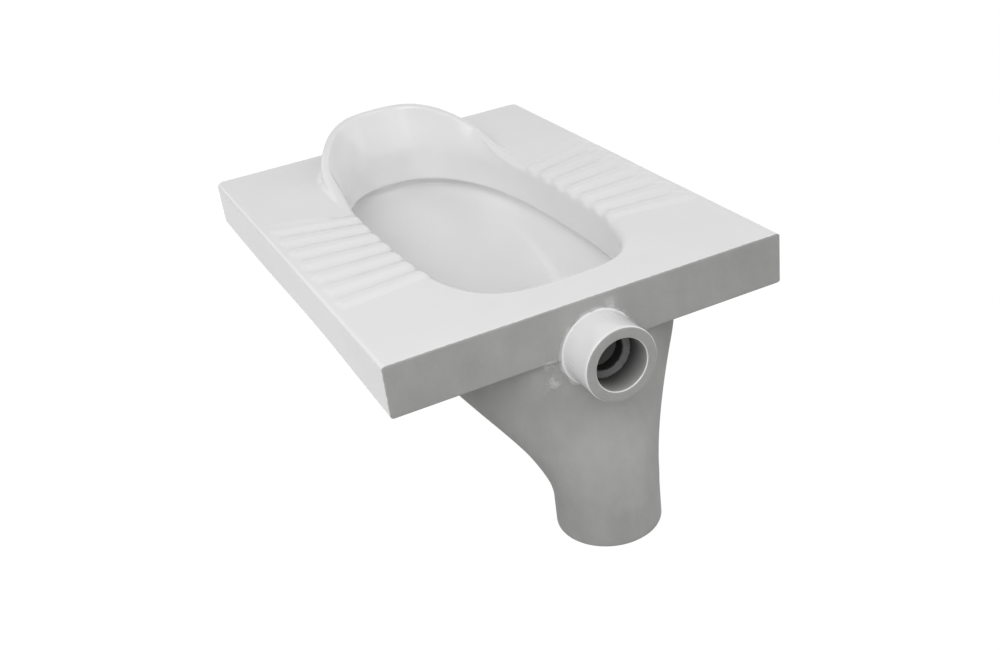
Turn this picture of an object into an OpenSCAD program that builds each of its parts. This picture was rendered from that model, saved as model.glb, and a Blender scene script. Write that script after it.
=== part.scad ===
// Squat toilet of glazed ceramic: a deck with a skirt, a boxed flush rim, a bowl that falls to a
// funnel, and round connections for the flush pipe and the drain. Its sections are luted together.
// The origin is the centre of the outlet's mouth, +Z is up and +Y runs from the inlet to the hood.
// Inside the modules y starts at the inlet face, and z at the top of the deck.

/* [Deck] */
// Width of the deck
deck_w = 440; // [425:5:480]
// Length of the deck
deck_l = 600; // [596:2:640]
// Thickness of the deck
deck_t = 14; // [10:1:16]
// Height of the skirt, from the top of the deck
skirt_h = 56; // [54:1:66]
// Thickness of the skirt
skirt_t = 12; // [8:1:14]
// Radius of the glazed edges along the sides and the far end
edge_r = 8; // [4:1:10]
// Radius of the far corners in plan
corner_r = 13; // [8:1:16]
// Radius of the corners at the inlet face in plan
face_r = 3; // [2:0.5:5]

/* [Opening] */
// Width of the opening
open_w = 222; // [210:2:228]
// Distance from the inlet face to the near edge of the opening
open_near = 60; // [58:1:70]
// Distance from the far edge of the opening to the far end of the deck
open_margin = 52; // [48:1:60]
// Distance from the inlet face to the widest place of the opening
open_wide = 285; // [250:5:320]
// Power of the curve at the near end of the opening: 2 is an ellipse, and more is squarer
open_near_power = 3.4; // [2.4:0.1:4.5]
// Power of the curve at the far end of the opening
open_far_power = 2.4; // [2:0.1:2.8]

/* [Splash hood] */
// Height of the hood over the deck
hood_h = 51; // [30:1:60]
// Thickness of the hood at its rounded top
hood_t = 12; // [8:1:14]
// Distance that the hood's top stands outside the opening along the sides
hood_side_lean = 24; // [16:1:26]
// Distance that the hood's top stands outside the opening at the far end
hood_far_lean = 22; // [14:1:24]
// Height in which the hood's top reaches these distances
hood_lean_h = 26; // [16:1:30]
// Width of the flare where the hood's back meets the deck
hood_flare = 12; // [6:1:14]

/* [Footrests] */
// Number of tread ribs on each side
rib_count = 7; // [3:1:8]
// Number of those ribs on the inlet's side of the groove that lies square across the deck
rib_near_count = 2; // [1:1:2]
// Height of a rib
rib_h = 5; // [3:0.5:7]
// Distance from the opening's side to the inner end of the ribs
rib_gap = 6; // [5:1:11]
// Distance from the outer end of the ribs to the deck's side
rib_margin = 13; // [12:1:28]
// Distance from the inlet face to the groove that lies square across the deck
rib_mid = 207; // [200:1:214]
// Spacing of the ribs at their inner end
rib_in_pitch = 32; // [30:0.5:35]
// Spacing of the ribs at their outer end
rib_out_pitch = 39; // [37:0.5:40]

/* [Flush rim] */
// Height of the rim's lower edge above the skirt's lower edge
rim_rise = 6; // [4:1:12]
// Thickness of the rim's walls and floor
rim_t = 8; // [6:1:9]
// Width of the water channel along the sides
channel_w = 23; // [18:1:26]
// Width of the water channel at the far end
far_channel_w = 12; // [11:1:14]
// Diameter of a wash hole
wash_d = 6; // [4:0.5:7]
// Distance from the opening out to the wash holes
wash_in = 14; // [13:0.5:15]
// Number of wash holes
wash_count = 26; // [12:2:32]

/* [Bowl] */
// Thickness of the bowl, of the outlet horn and of the outlet
bowl_t = 11; // [8:1:12]
// Step in from the rim's outer wall to the side of the bowl under it
bowl_inset = 1; // [0.5:0.5:4]
// Distance from the inlet face to the widest place of the bowl
bowl_wide = 150; // [140:5:180]
// Height of the bowl's upright far wall under the rim
bowl_wall_h = 18; // [12:1:26]
// Depth at which the bowl and the horn are luted together
bowl_h = 130; // [124:1:140]
// Half width of the flat pad behind the inlet
pad_w = 46; // [40:1:54]
// Height of the open seam between the skirt and the bowl at the inlet face
seam_h = 1.5; // [1:0.5:3]

/* [Outlet] */
// Height from the outlet's mouth to the top of the deck
outlet_drop = 266; // [250:1:290]
// Distance from the inlet face to the middle of the outlet
outlet_set = 10.5; // [6:0.5:20]
// Outside diameter of the outlet
outlet_d = 111; // [104:1:116]
// Length of the straight outlet
outlet_l = 34; // [28:1:40]
// Length of the plain neck above the straight outlet
neck_l = 18; // [10:1:24]
// Radius of the rounding at the outlet's mouth
outlet_edge_r = 3; // [1:0.5:4]

/* [Inlet] */
// Outside diameter of the inlet
inlet_d = 79; // [74:1:84]
// Bore of the inlet
inlet_bore = 55.5; // [50:0.5:58]
// Length that the inlet stands out of the face
inlet_l = 45; // [38:1:55]
// Radius of the rounding at the inlet's mouth
inlet_edge_r = 2.5; // [1:0.5:4]
// Depth of the inlet's bore, down to its shoulder
inlet_bore_l = 33; // [24:1:36]
// Width of the bead of slip round the inlet
lute_w = 6; // [4:0.5:6.5]
// Bore of the water way behind the inlet
duct_bore = 40; // [34:1:42]
// Thickness of the water way's wall
duct_t = 6; // [4:0.5:6.5]
// Length of the slot in the water way's top, inside the flush rim
duct_slot_l = 12; // [8:1:14]

/* [Support webs] */
// Thickness of a web
web_t = 12; // [8:1:16]
// Height of a web's lower edge above the skirt's lower edge
web_rise = 8; // [6:1:16]

/* [Hidden] */
$fn = 96;
glaze = [0.9, 0.9, 0.9];
bare = [0.62, 0.62, 0.61];
// Overrun of the cuts
cut = 1;
// Points round an outline, levels of the bowl and of the horn, and stations along the hood
ring_steps = 60;
bowl_levels = 11;
horn_levels = 8;
hood_stations = 40;
// Steps across a rib and round each of its ends
rib_steps = 8;
rib_end_steps = 5;
// The width of a rib as a share of its spacing: over 1, so that neighbours merge in their groove
rib_width_share = 1.06;
// Steps round the hood's top and down its flare
crest_steps = 6;
flare_steps = 5;
// The share of the bowl's fall that follows a half cosine; the rest is even
cosine_share = 0.6;
// The power by which the bowl's widest place draws back to the outlet
draw_power = 1.4;
// How far the bowl's outlines are squarer than a circle: near, far and in the middle of the fall
bowl_near_extra = 0.3;
bowl_far_extra = 0.9;
bowl_fall_extra = 5.4;
// The share of the bowl's near curve that the open seam runs over
seam_share = 0.5;
// The angles of the opening's outline between which the hood rises, and its first share of height
hood_turns = [22, 78];
hood_tip_share = 0.05;
// The power of the hood's top in plan, as a share of the opening's at its far end
hood_power_share = 0.92;

open_far = deck_l - open_margin;
rim_h = skirt_h - rim_rise;
web_h = skirt_h - deck_t - web_rise;
outlet_r = outlet_d / 2;
inlet_r = inlet_d / 2;
duct_r = duct_bore / 2 + duct_t;
// The water way ends at the rim's inner wall
duct_l = open_near - rim_t;
// The reach of the flush rim out from the opening, along the sides and at the far end
rim_out = 2 * rim_t + channel_w;
rim_far_out = 2 * rim_t + far_channel_w;
// Half the outside width of the bowl under the rim, and its far end, flush with the rim's
bowl_half = open_w / 2 + rim_out - bowl_inset;
bowl_far = open_far + rim_far_out;
// Distances from the middle of the pan to the ribs' inner ends, at its widest, and outer ends
rib_in = open_w / 2 + rib_gap;
rib_out = deck_w / 2 - rib_margin;
// The depths between which the horn leaves the plane of the inlet face, and that of its round end
sweep_top = skirt_h + inlet_r + lute_w;
sweep_end = outlet_drop - outlet_l;
funnel_end = sweep_end - neck_l;
// The depth at which the thick wall behind the inlet starts to thin
pad_end = skirt_h + duct_r;
// Half the length of the open seam under the inlet face
seam_half = pad_w + (bowl_half - pad_w) * seam_share;

// Moves a shape from the deck's corner of reference to the outlet's mouth
module seat() {
    translate([0, -outlet_set, outlet_drop]) children();
}

// Turns a shape so that its +Z runs out of the inlet, or into it
module outwards() {
    translate([0, 0, -skirt_h]) rotate([90, 0, 0]) children();
}
module inwards() {
    translate([0, 0, -skirt_h]) rotate([-90, 0, 0]) children();
}

// The share of the way from a to b at v, held between 0 and 1
function share(v, a, b) = min(max((v - a) / (b - a), 0), 1);

// A smooth step from 0 at a to 1 at b
function smooth(v, a, b) = let (t = share(v, a, b)) t * t * (3 - 2 * t);

// A power that keeps the sign, for rounded outlines
function spow(v, p) = sign(v) * pow(abs(v), p);

// The place at angle a on an outline: half width w, widest at y = mid, from near to far
function spot(a, w, near, far, mid, near_power, far_power) =
    let (
        p = 2 / (sin(a) < 0 ? near_power : far_power),
        reach = sin(a) < 0 ? mid - near : far - mid
    )
    [w * spow(cos(a), p), mid + reach * spow(sin(a), p)];

// The place at angle a on the opening's outline, moved out at its sides and its two ends
function rim_spot(a, side = 0, near = 0, far = 0) =
    spot(a, open_w / 2 + side, open_near - near, open_far + far, open_wide,
        open_near_power, open_far_power);
function rim_line(side = 0, near = 0, far = 0) =
    [for (i = [0:ring_steps - 1]) rim_spot(360 * (i + 0.5) / ring_steps, side, near, far)];

// Half the width of the opening at a distance from the inlet face
function open_half(y) =
    let (
        power = y < open_wide ? open_near_power : open_far_power,
        reach = y < open_wide ? open_wide - open_near : open_far - open_wide
    )
    open_w / 2 * pow(1 - pow(min(abs(y - open_wide) / reach, 1), power), 1 / power);

// The fall of the bowl: 1 at depth a, 0 at depth b
function fall(z, a, b) =
    let (t = share(z, a, b)) cosine_share * (1 + cos(180 * t)) / 2 + (1 - cosine_share) * (1 - t);

// Half width, near line, far line and widest place of the bowl's outside at a depth
function half(z) = outlet_r + (bowl_half - outlet_r) * fall(z, rim_h, funnel_end);
function back(z) = z < skirt_h ? skirt_t : (outlet_set - outlet_r) * smooth(z, sweep_top, sweep_end);
function front(z) =
    outlet_set + outlet_r + (bowl_far - outlet_set - outlet_r) * fall(z, rim_h + bowl_wall_h, funnel_end);
function widest(z) =
    outlet_set + (bowl_wide - outlet_set) * pow(1 - share(z, rim_h, funnel_end), draw_power);

// The near line of the bowl's inside: a thick wall behind the inlet, and an even one below it
function inside_back(z) =
    z < skirt_h ? skirt_t + bowl_t : back(z) + bowl_t + skirt_t * (1 - smooth(z, pad_end, bowl_h));

// One level of the bowl: an outline with a flat pad at the near end
function level(z, w, near, far) =
    let (
        s = share(z, rim_h, funnel_end),
        mid = widest(z),
        near_power = 2 + bowl_near_extra * (1 - s),
        far_power = 2 + (bowl_far_extra + bowl_fall_extra * s) * (1 - s),
        pad = pad_w / w * (1 - s),
        flat = 1 / pow(1 - pow(pad, near_power), 1 / near_power),
        tip = mid - (mid - near) * flat
    )
    [
        for (i = [0:ring_steps - 1])
            let (p = spot(360 * (i + 0.5) / ring_steps, w, tip, far, mid, near_power, far_power))
            [p[0], max(p[1], near), -z]
    ];
function outer_level(z) = level(z, half(z), back(z), front(z));
function inner_level(z) =
    level(z, min(half(z) - bowl_t, half(z + bowl_t)), inside_back(z),
        min(front(z) - bowl_t, front(z + bowl_t)));

// A closed skin through loops of equal length, ended by caps, or by its own first loop
module skin(loops, ring = false) {
    n = len(loops[0]);
    m = len(loops);
    polyhedron(
        points = [for (loop = loops) each loop],
        faces = [
            for (j = [0:m - (ring ? 1 : 2)], i = [0:n - 1])
                let (a = j * n, c = (j + 1) % m * n, k = (i + 1) % n)
                each [[a + i, a + k, c + i], [a + k, c + k, c + i]],
            if (!ring) [for (i = [n - 1:-1:0]) i],
            if (!ring) [for (i = [0:n - 1]) (m - 1) * n + i]
        ]
    );
}

// A wall of the bowl through a list of depths
module bowl_wall(depths) {
    last = len(depths) - 1;
    skin(concat(
        [for (z = depths) outer_level(z)],
        [for (i = [last:-1:0]) inner_level(depths[i])]
    ), ring = true);
}

// A prism of an outline between two depths
module prism(points, top, bottom) {
    translate([0, 0, -bottom]) linear_extrude(bottom - top) polygon(points);
}

// A quarter of waste that rounds a convex corner at the origin
module corner_waste(r) {
    translate([-r, -r]) difference() {
        square(r + cut);
        circle(r);
    }
}

// The plan of the deck: small corners at the inlet face, larger ones at the far end
module plan(w, l, near_r, far_r) {
    difference() {
        translate([-w / 2, 0]) square([w, l]);
        for (x = [0, 1]) mirror([x, 0]) {
            translate([w / 2, l]) corner_waste(far_r);
            translate([w / 2, 0]) mirror([0, 1]) corner_waste(near_r);
        }
    }
}

module deck() {
    color(glaze) seat() difference() {
        translate([0, 0, -skirt_h]) linear_extrude(skirt_h) plan(deck_w, deck_l, face_r, corner_r);
        translate([0, skirt_t, -skirt_h - cut]) linear_extrude(skirt_h - deck_t + cut)
            plan(deck_w - 2 * skirt_t, deck_l - 2 * skirt_t, face_r, corner_r);
        for (x = [0, 1]) mirror([x, 0, 0]) translate([deck_w / 2, deck_l + cut, 0])
            rotate([90, 0, 0]) linear_extrude(deck_l + 2 * cut) corner_waste(edge_r);
        translate([-deck_w / 2 - cut, deck_l, 0])
            rotate([90, 0, 90]) linear_extrude(deck_w + 2 * cut) corner_waste(edge_r);
        prism(rim_line(), -cut, skirt_h);
        translate([-seam_half, -cut, -skirt_h - cut]) cube([2 * seam_half, skirt_t + 2 * cut, seam_h + cut]);
        water_way();
    }
}

// The room that the water way's sleeve takes
module water_way() {
    translate([0, -cut, 0]) inwards() cylinder(h = duct_l + cut, r = duct_r);
}

// One tread rib on its own spoke of the fan: a rounded ridge that widens outwards, with round ends.
// Its inner end keeps its gap to the opening.
module rib(turn) {
    spread = (rib_out_pitch - rib_in_pitch) / (rib_out - rib_in);
    hub = rib_out - rib_out_pitch / spread;
    angle = atan(spread) * turn;
    near_y = rib_mid + turn * rib_in_pitch;
    near = (open_half(near_y) + rib_gap - hub) / cos(angle);
    far = (rib_out - hub) / cos(angle);
    half_share = spread * rib_width_share / 2;
    near_r = near * spread / 2;
    far_r = far * spread / 2;
    bends = [for (i = [1:rib_end_steps]) 90 * (i - 0.5) / (rib_end_steps - 0.5)];
    ends = concat(
        [for (b = bends) [near + near_r * (1 - cos(b)), sin(b)]],
        [for (i = [rib_end_steps - 1:-1:0]) [far - far_r * (1 - cos(bends[i])), sin(bends[i])]]
    );
    translate([hub, rib_mid, 0]) rotate(angle) skin([
        for (e = ends) [
            for (i = [0:rib_steps])
                let (b = 180 * i / rib_steps)
                [e[0], -half_share * e[0] * e[1] * cos(b), rib_h * e[1] * sin(b)]
        ]
    ]);
}

module footrest() {
    seat() for (k = [0:rib_count - 1]) rib(k + 0.5 - rib_near_count);
}

module left_footrest() {
    color(glaze) mirror([1, 0, 0]) footrest();
}

module right_footrest() {
    color(glaze) footrest();
}

// The share of its height that the hood has at an angle up from either side
function hood_rise(up) =
    (sin(90 * share(up, hood_turns[0], hood_turns[1])) + smooth(up, hood_turns[0], hood_turns[1])) / 2;

// One section of the hood: up its leaning inside, over its round top and down its flared back
function hood_section(a) =
    let (
        foot = rim_spot(a),
        top = spot(a, open_w / 2 + hood_side_lean, open_near, open_far + hood_far_lean, open_wide,
            open_near_power, open_far_power * hood_power_share),
        out = (top - foot) / norm(top - foot),
        h = hood_h * max(hood_rise(min(a, 180 - a)), hood_tip_share),
        top_r = min(hood_t, h) / 2,
        lean = max(norm(top - foot) * smooth(h, 0, hood_lean_h), top_r),
        flare = min(hood_flare, h),
        side = [
            [0, 0],
            for (i = [0:crest_steps])
                let (b = 180 * i / crest_steps)
                [lean - top_r * cos(b), h - top_r + top_r * sin(b)],
            for (i = [1:flare_steps])
                let (b = 90 * i / flare_steps)
                [lean + top_r + flare * (1 - cos(b)), (h - top_r) * (1 - sin(b))]
        ]
    )
    [for (q = side) [foot[0] + out[0] * q[0], foot[1] + out[1] * q[0], q[1]]];

module splash_hood() {
    start = hood_turns[0];
    span = 180 - 2 * start;
    color(glaze) seat()
        skin([for (i = [hood_stations:-1:0]) hood_section(start + span * i / hood_stations)]);
}

module flush_rim() {
    color(glaze) seat() difference() {
        prism(rim_line(rim_out, rim_out, rim_far_out), deck_t, rim_h);
        prism(rim_line(), 0, rim_h + cut);
        difference() {
            prism(rim_line(rim_out - rim_t, rim_out - rim_t, rim_far_out - rim_t), 0, rim_h - rim_t);
            prism(rim_line(rim_t, rim_t, rim_t), -cut, rim_h);
        }
        water_way();
        for (k = [0:wash_count - 1]) {
            hole = rim_spot(360 * (k + 0.5) / wash_count, wash_in, wash_in, wash_in);
            if (hole[1] > open_near || abs(hole[0]) > duct_r + wash_d)
                translate([hole[0], hole[1], -rim_h - cut]) cylinder(h = rim_t + 2 * cut, d = wash_d);
        }
    }
}

module inlet_duct() {
    color(bare) seat() difference() {
        inwards() cylinder(h = duct_l, r = duct_r);
        translate([0, -cut, 0]) inwards() cylinder(h = duct_l - duct_t + cut, d = duct_bore);
        translate([-duct_r, duct_l - duct_t - duct_slot_l, rim_t - rim_h])
            cube([2 * duct_r, duct_slot_l, rim_h - deck_t]);
    }
}

module inlet_spout() {
    color(glaze) seat() outwards() difference() {
        rotate_extrude() difference() {
            square([inlet_r, inlet_l]);
            translate([inlet_r, inlet_l]) corner_waste(inlet_edge_r);
        }
        translate([0, 0, -cut]) cylinder(h = inlet_l, d = duct_bore);
        translate([0, 0, inlet_l - inlet_bore_l]) cylinder(h = inlet_bore_l + cut, d = inlet_bore);
    }
}

module spout_lute() {
    color(glaze) seat() outwards() rotate_extrude() translate([inlet_r, 0]) difference() {
        square(lute_w);
        translate([lute_w, lute_w]) circle(lute_w);
    }
}

module bowl() {
    depths = [
        rim_h, skirt_h - seam_h,
        for (i = [0:bowl_levels]) skirt_h + (bowl_h - skirt_h) * i / bowl_levels
    ];
    color(bare) seat() difference() {
        bowl_wall(depths);
        water_way();
    }
}

module outlet_horn() {
    color(bare) seat()
        bowl_wall([for (i = [0:horn_levels]) bowl_h + (sweep_end - bowl_h) * i / horn_levels]);
}

module outlet_spigot() {
    color(bare) difference() {
        rotate_extrude() difference() {
            square([outlet_r, outlet_l]);
            translate([outlet_r, 0]) mirror([0, 1]) corner_waste(outlet_edge_r);
        }
        translate([0, 0, -cut]) cylinder(h = outlet_l + 2 * cut, r = outlet_r - bowl_t);
    }
}

module web() {
    seat() difference() {
        translate([0, rib_mid - web_t / 2, -deck_t - web_h]) cube([deck_w / 2 - skirt_t, web_t, web_h]);
        prism(rim_line(rim_out, rim_out, rim_far_out), 0, deck_t + web_h + cut);
    }
}

module left_web() {
    color(bare) mirror([1, 0, 0]) web();
}

module right_web() {
    color(bare) web();
}

deck();
left_footrest();
right_footrest();
splash_hood();
flush_rim();
inlet_duct();
inlet_spout();
spout_lute();
bowl();
outlet_horn();
outlet_spigot();
left_web();
right_web();
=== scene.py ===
"""The looks of a slip-cast squat toilet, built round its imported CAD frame.

Lengths are metres in the row frame: +Z up, +Y from the flush inlet to the splash hood, and the
origin at the centre of the outlet's mouth. Depths are measured down from the top of the deck.
"""
from __future__ import annotations

import logging
import math
from dataclasses import dataclass, field
from enum import Enum

import bpy
import numpy as np
from mathutils import Matrix, Vector

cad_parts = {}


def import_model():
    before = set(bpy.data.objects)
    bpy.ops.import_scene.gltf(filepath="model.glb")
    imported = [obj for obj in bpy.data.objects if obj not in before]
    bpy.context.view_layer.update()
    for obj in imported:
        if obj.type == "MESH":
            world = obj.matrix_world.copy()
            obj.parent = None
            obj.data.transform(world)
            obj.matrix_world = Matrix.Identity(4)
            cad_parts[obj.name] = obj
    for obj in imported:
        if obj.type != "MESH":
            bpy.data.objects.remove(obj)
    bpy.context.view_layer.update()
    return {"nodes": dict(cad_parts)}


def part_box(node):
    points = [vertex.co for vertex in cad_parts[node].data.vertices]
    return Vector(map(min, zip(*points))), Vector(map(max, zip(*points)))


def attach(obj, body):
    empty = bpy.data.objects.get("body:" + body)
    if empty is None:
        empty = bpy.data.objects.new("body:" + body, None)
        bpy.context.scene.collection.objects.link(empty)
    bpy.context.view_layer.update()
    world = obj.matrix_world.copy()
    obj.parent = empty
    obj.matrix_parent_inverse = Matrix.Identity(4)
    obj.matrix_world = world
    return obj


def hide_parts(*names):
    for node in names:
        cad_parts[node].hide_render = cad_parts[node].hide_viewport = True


LOG = logging.getLogger("squat_pan")
MM = 0.001
QUARTER_TURN = 0.5 * math.pi
Array = np.ndarray
Piece = bpy.types.Object
Socket = bpy.types.NodeSocket


class Slot(Enum):
    """The record's material slots."""

    GLAZED = "glazed"
    BARE = "bare"


class Side(Enum):
    """The two footrests, by the sign of their x."""

    LEFT = -1
    RIGHT = 1


def share(v: Array | float, low: float, high: float) -> Array:
    """The share of the way from low to high at v, held between 0 and 1."""
    return np.clip((np.asarray(v, float) - low) / (high - low), 0.0, 1.0)


def smooth(v: Array | float, low: float, high: float) -> Array:
    """A smooth step from 0 at low to 1 at high: three times t squared less twice t cubed."""
    t = share(v, low, high)
    return t * t * (3.0 - 2.0 * t)


def bump(v: Array | float, middle: float, reach: float) -> Array:
    """A rounded bump of height 1 at middle that ends at reach to either side: a raised cosine."""
    t = np.clip(np.abs(np.asarray(v, float) - middle) / reach, 0.0, 1.0)
    return 0.5 + 0.5 * np.cos(math.pi * t)


def circle(count: int, shift: float = 0.0) -> Array:
    """Even angles round a circle, moved on by a share of one step."""
    return (np.arange(count) + shift) / count * 2.0 * math.pi


def quarter(steps: int, first: int = 1) -> list[tuple[float, float]]:
    """What the cosine and the sine leave of 1, step by step round a quarter circle."""
    turns = QUARTER_TURN * np.arange(first, steps + 1) / steps
    return [(1.0 - math.cos(a), 1.0 - math.sin(a)) for a in turns]


def shares(steps: int, first: int = 0) -> Array:
    """Even shares of a way of so many steps, from the first one to the last but one."""
    return np.arange(first, steps) / steps


def ripple(x: Array, y: Array, z: Array, length: float, seed: int) -> Array:
    """An uneven surface between about -1 and 1: the mean of six sine waves in seeded directions.

    Args:
        x: First coordinates.
        y: Second coordinates.
        z: Third coordinates.
        length: The mean wave length.
        seed: Number that picks the directions and phases.

    Returns:
        The height at each point.
    """
    draw = np.random.default_rng(seed)
    total = np.zeros(np.broadcast(x, y, z).shape)
    waves, gain = 6, 1.6
    for _ in range(waves):
        way = draw.normal(size=3)
        way /= np.linalg.norm(way)
        pitch = 2.0 * math.pi / (length * draw.uniform(0.6, 1.5))
        phase = draw.uniform(0.0, 2.0 * math.pi)
        total += np.sin(pitch * (way[0] * x + way[1] * y + way[2] * z) + phase)
    return total / waves * gain


def grid_quads(rows: int, cols: int, rows_closed: bool, cols_closed: bool) -> Array:
    """Corner numbers of the quads of a grid whose points are counted row by row.

    Args:
        rows: Number of rows.
        cols: Number of points in a row.
        rows_closed: Whether the last row joins the first.
        cols_closed: Whether the last point of a row joins its first.

    Returns:
        An array of four corner numbers a quad.
    """
    j, i = np.meshgrid(
        np.arange(rows if rows_closed else rows - 1),
        np.arange(cols if cols_closed else cols - 1),
        indexing="ij",
    )
    j_next, i_next = (j + 1) % rows, (i + 1) % cols
    corners = [j * cols + i, j * cols + i_next, j_next * cols + i_next, j_next * cols + i]
    return np.stack(corners, -1).reshape(-1, 4)


def fan(first: int, count: int, centre: int) -> Array:
    """Corner numbers of the triangles from a loop of points to one centre point."""
    i = np.arange(count)
    return np.stack([first + i, np.full(count, centre), first + (i + 1) % count], -1)


def put(name: str, data: bpy.types.ID) -> Piece:
    """A new object with the data, in the scene."""
    thing = bpy.data.objects.new(name, data)
    bpy.context.scene.collection.objects.link(thing)
    return thing


def outward(azimuth: float, elevation: float) -> Vector:
    """The way from the pan to a place round it; azimuth 0 is in front of the inlet."""
    level = math.cos(elevation)
    return Vector((math.sin(azimuth) * level, -math.cos(azimuth) * level, math.sin(elevation)))


def make_piece(
    name: str,
    points: Array,
    glaze: Array,
    *,
    tone: Array | None = None,
    rows_closed: bool = True,
    crease: float = 38.0,
) -> Piece:
    """A closed, smooth-shaded mesh of a grid of points whose rows are loops.

    The faces are turned outwards by the sign of the volume that they enclose. A grid whose rows
    don't close on themselves gets a fan to the middle of its first and of its last row.

    Args:
        name: The object's name.
        points: Rows by columns by three coordinates.
        glaze: Rows by columns, 1 where the surface is glazed and 0 where it is bare.
        tone: Rows by columns of painted shade, 1 where the colour is plain and 0 where it is painted
            black.
        rows_closed: Whether the last row joins the first.
        crease: Angle in degrees over which an edge is shaded sharp.

    Returns:
        The new object, in the scene.
    """
    rows, cols = points.shape[:2]
    flat = points.reshape(-1, 3)
    cover = glaze.reshape(-1)
    faces = grid_quads(rows, cols, rows_closed, True)
    tris = np.empty((0, 3), int)
    if not rows_closed:
        last = (rows - 1) * cols
        flat = np.vstack([flat, points[0].mean(0), points[-1].mean(0)])
        cover = np.append(cover, [glaze[0].mean(), glaze[-1].mean()])
        tris = np.vstack([
            fan(0, cols, rows * cols),
            fan(last, cols, rows * cols + 1)[:, ::-1],
        ])
    split = np.vstack([faces[:, [0, 1, 2]], faces[:, [0, 2, 3]], tris])
    corner = flat[split]
    volume = np.einsum("ij,ij->i", corner[:, 0], np.cross(corner[:, 1], corner[:, 2])).sum()
    if volume < 0.0:
        faces, tris = faces[:, ::-1], tris[:, ::-1]
    mesh = bpy.data.meshes.new(name)
    mesh.from_pydata(flat.tolist(), [], faces.tolist() + tris.tolist())
    mesh.attributes.new("glaze", "FLOAT", "POINT").data.foreach_set("value", cover.astype(np.float32))
    # The tone attribute carries painted shade to the material.
    if tone is not None:
        mesh.attributes.new("tone", "FLOAT", "POINT").data.foreach_set("value", tone.reshape(-1))
    mesh.shade_smooth()
    mesh.set_sharp_from_angle(angle=math.radians(crease))
    mesh.validate()
    return put(name, mesh)


def cut_away(piece: Piece, tool: Piece) -> None:
    """Takes the tool's shape out of the piece, and deletes the tool.

    Args:
        piece: The piece, whose mesh is replaced.
        tool: A closed shape.
    """
    cutter = piece.modifiers.new("cut", "BOOLEAN")
    cutter.operation = "DIFFERENCE"
    cutter.solver = "EXACT"
    cutter.object = tool
    view = bpy.context.evaluated_depsgraph_get()
    mesh = bpy.data.meshes.new_from_object(piece.evaluated_get(view))
    piece.modifiers.clear()
    old, piece.data = piece.data, mesh
    mesh.name = piece.name
    bpy.data.meshes.remove(old)
    bpy.data.objects.remove(tool)


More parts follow.
